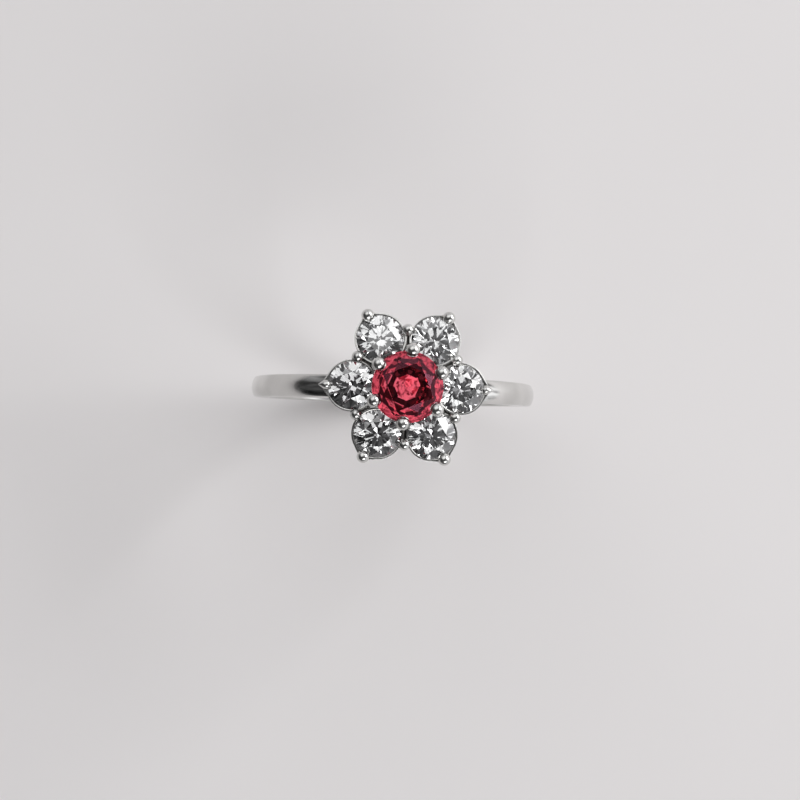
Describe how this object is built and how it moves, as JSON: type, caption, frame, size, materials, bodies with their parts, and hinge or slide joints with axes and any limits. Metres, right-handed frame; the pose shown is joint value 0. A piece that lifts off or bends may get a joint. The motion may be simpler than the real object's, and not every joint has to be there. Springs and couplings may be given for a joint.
{
  "type": "cocktail ring",
  "caption": "Flower cluster dress ring: a raised round red centre stone in claws, circled by round clear petal stones in pointed collets, on a plain narrow shank.",
  "frame": {"origin": "centre of the finger hole, midway across the shank's width", "axes": "+Z from the finger hole's centre up through the centre stone; +Y along the finger; +X across the head"},
  "size_m": [0.0202, 0.0108, 0.0243],
  "materials": {
    "white_metal": "polished white precious metal, slightly worn, rhodium-like grey",
    "centre_stone": "faceted, polished, deep pinkish red gemstone",
    "petal_stone": "faceted, polished, colourless brilliant-cut gemstone"
  },
  "bodies": {
    "root": {"shank": "white_metal", "base_ring": "white_metal", "seat_rail": "white_metal", "centre_stone": "centre_stone", "petal_stone_1": "petal_stone", "petal_stone_2": "petal_stone", "petal_stone_3": "petal_stone", "petal_stone_4": "petal_stone", "petal_stone_5": "petal_stone", "petal_stone_6": "petal_stone", "petal_collet_1": "white_metal", "petal_collet_2": "white_metal", "petal_collet_3": "white_metal", "petal_collet_4": "white_metal", "petal_collet_5": "white_metal", "petal_collet_6": "white_metal", "centre_claw_1": "white_metal", "centre_claw_2": "white_metal", "centre_claw_3": "white_metal", "centre_claw_4": "white_metal", "centre_claw_5": "white_metal", "centre_claw_6": "white_metal", "tip_claw_1": "white_metal", "tip_claw_2": "white_metal", "tip_claw_3": "white_metal", "tip_claw_4": "white_metal", "tip_claw_5": "white_metal", "tip_claw_6": "white_metal", "valley_claw_1": "white_metal", "valley_claw_2": "white_metal", "valley_claw_3": "white_metal", "valley_claw_4": "white_metal", "valley_claw_5": "white_metal", "valley_claw_6": "white_metal", "bridge_bar_1": "white_metal", "bridge_bar_2": "white_metal", "bridge_bar_3": "white_metal", "bridge_bar_4": "white_metal", "bridge_bar_5": "white_metal", "bridge_bar_6": "white_metal"}
  },
  "joints": []
}
